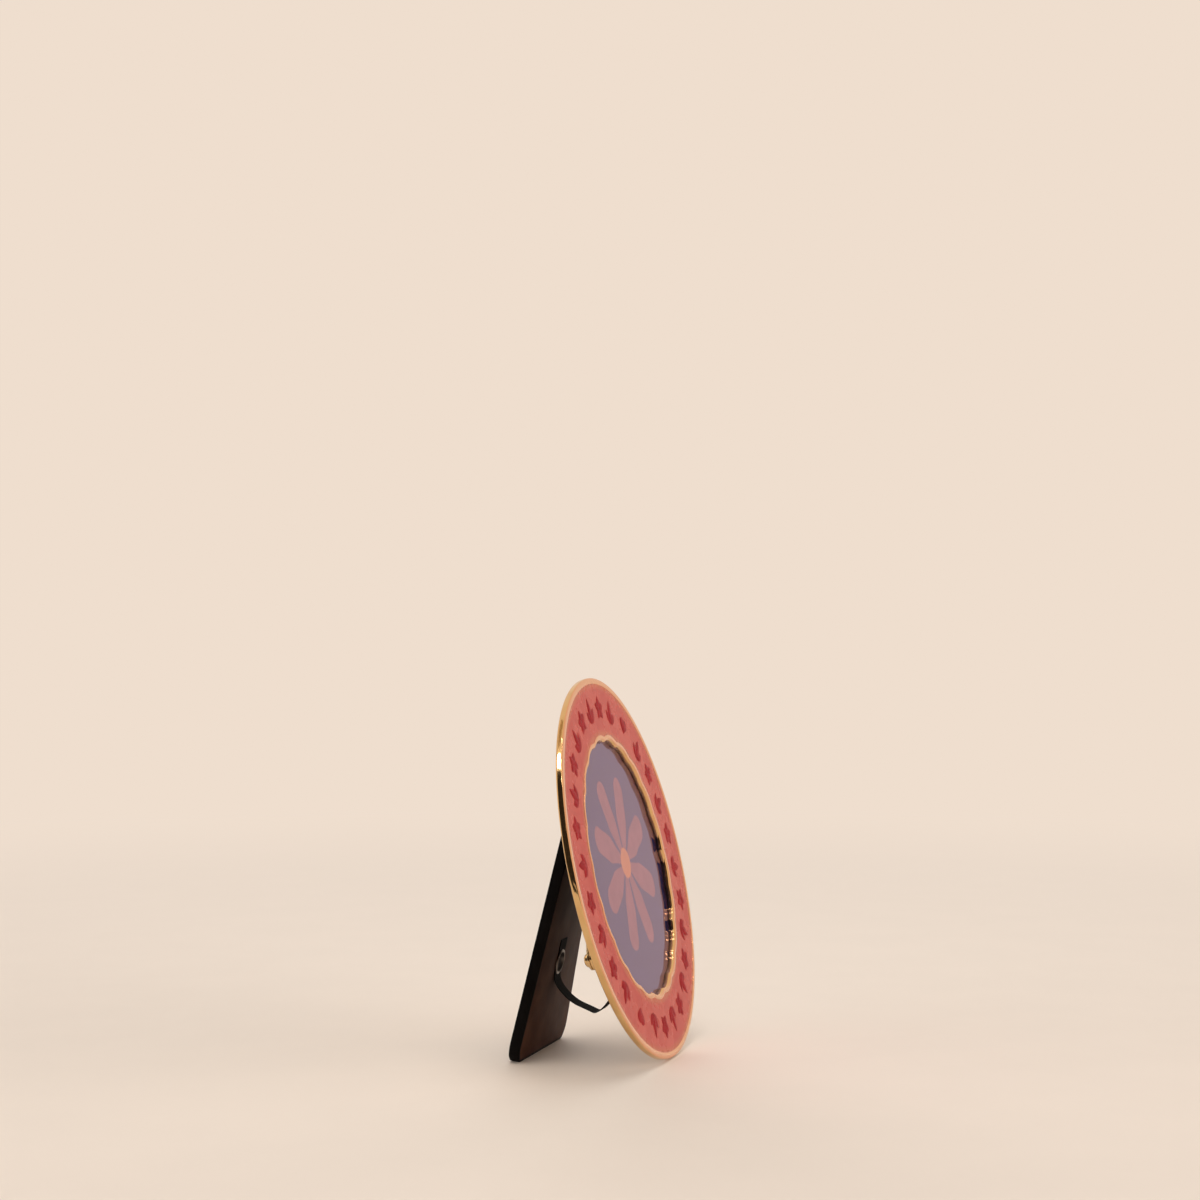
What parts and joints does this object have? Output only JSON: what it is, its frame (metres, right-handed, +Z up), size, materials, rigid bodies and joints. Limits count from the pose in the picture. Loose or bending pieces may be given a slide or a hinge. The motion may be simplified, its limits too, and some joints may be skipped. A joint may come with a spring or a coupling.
{
  "type": "photo frame",
  "caption": "Round table photo frame: a rim with an enamel band and a scalloped opening, glazed, leaning on a hinged tapered strut that a stay ribbon limits.",
  "frame": {"origin": "on the table, under the middle of the standing frame's box", "axes": "+Z up, -Y out of the front, +X to the right as seen from the front; the disc leans back by 13.3 degrees towards +Y"},
  "size_m": [0.12, 0.047, 0.117],
  "materials": {
    "gilt_brass": "polished pink-gold plate",
    "red_enamel": "polished",
    "dark_red_enamel": "polished",
    "pane_glass": "polished",
    "printed_card": "printed, satin",
    "greyboard": "matt pulp board",
    "dark_paper": "grained black paper",
    "lining_paper": "matt brown paper",
    "screw_brass": "polished",
    "sheet_brass": "brushed",
    "nickel": "nickel plate",
    "steel": "nickel plated steel",
    "black_ribbon": "woven satin"
  },
  "bodies": {
    "frame": {"rim": "gilt_brass", "enamel": "red_enamel", "leaf_inlays": "dark_red_enamel", "blossom_inlays": "dark_red_enamel", "heart_inlays": "dark_red_enamel", "glass_pane": "pane_glass", "printed_card": "printed_card", "backing_board": "greyboard", "backing_paper": "dark_paper", "button_screws": "screw_brass", "hinge_board_leaf": "steel", "hinge_pin": "steel", "hinge_board_rivets": "nickel", "board_eyelet": "nickel", "ribbon": "black_ribbon"},
    "strut": {"strut_core": "greyboard", "strut_cover": "dark_paper", "strut_lining": "lining_paper", "hinge_strut_leaf": "steel", "hinge_strut_rivets": "nickel", "strut_eyelet": "nickel"},
    "turn_button_1": {"turn_button_1": "sheet_brass"},
    "turn_button_2": {"turn_button_2": "sheet_brass"},
    "turn_button_3": {"turn_button_3": "sheet_brass"}
  },
  "joints": [
    {"name": "strut_hinge", "type": "hinge", "parent": "frame", "child": "strut", "pos_m": [0, 0.00374, 0.08122], "axis": [1, 0, 0], "range_deg": [-25.4, 0], "deforming": ["ribbon"]},
    {"name": "turn_button_1_pivot", "type": "hinge", "parent": "frame", "child": "turn_button_1", "pos_m": [0.00259, 0.00157, 0.10684], "axis": [0, -0.9732, 0.23], "continuous": true},
    {"name": "turn_button_2_pivot", "type": "hinge", "parent": "frame", "child": "turn_button_2", "pos_m": [0.04151, -0.016, 0.0325], "axis": [0, -0.9732, 0.23], "continuous": true},
    {"name": "turn_button_3_pivot", "type": "hinge", "parent": "frame", "child": "turn_button_3", "pos_m": [-0.0441, -0.01497, 0.03687], "axis": [0, -0.9732, 0.23], "continuous": true}
  ]
}
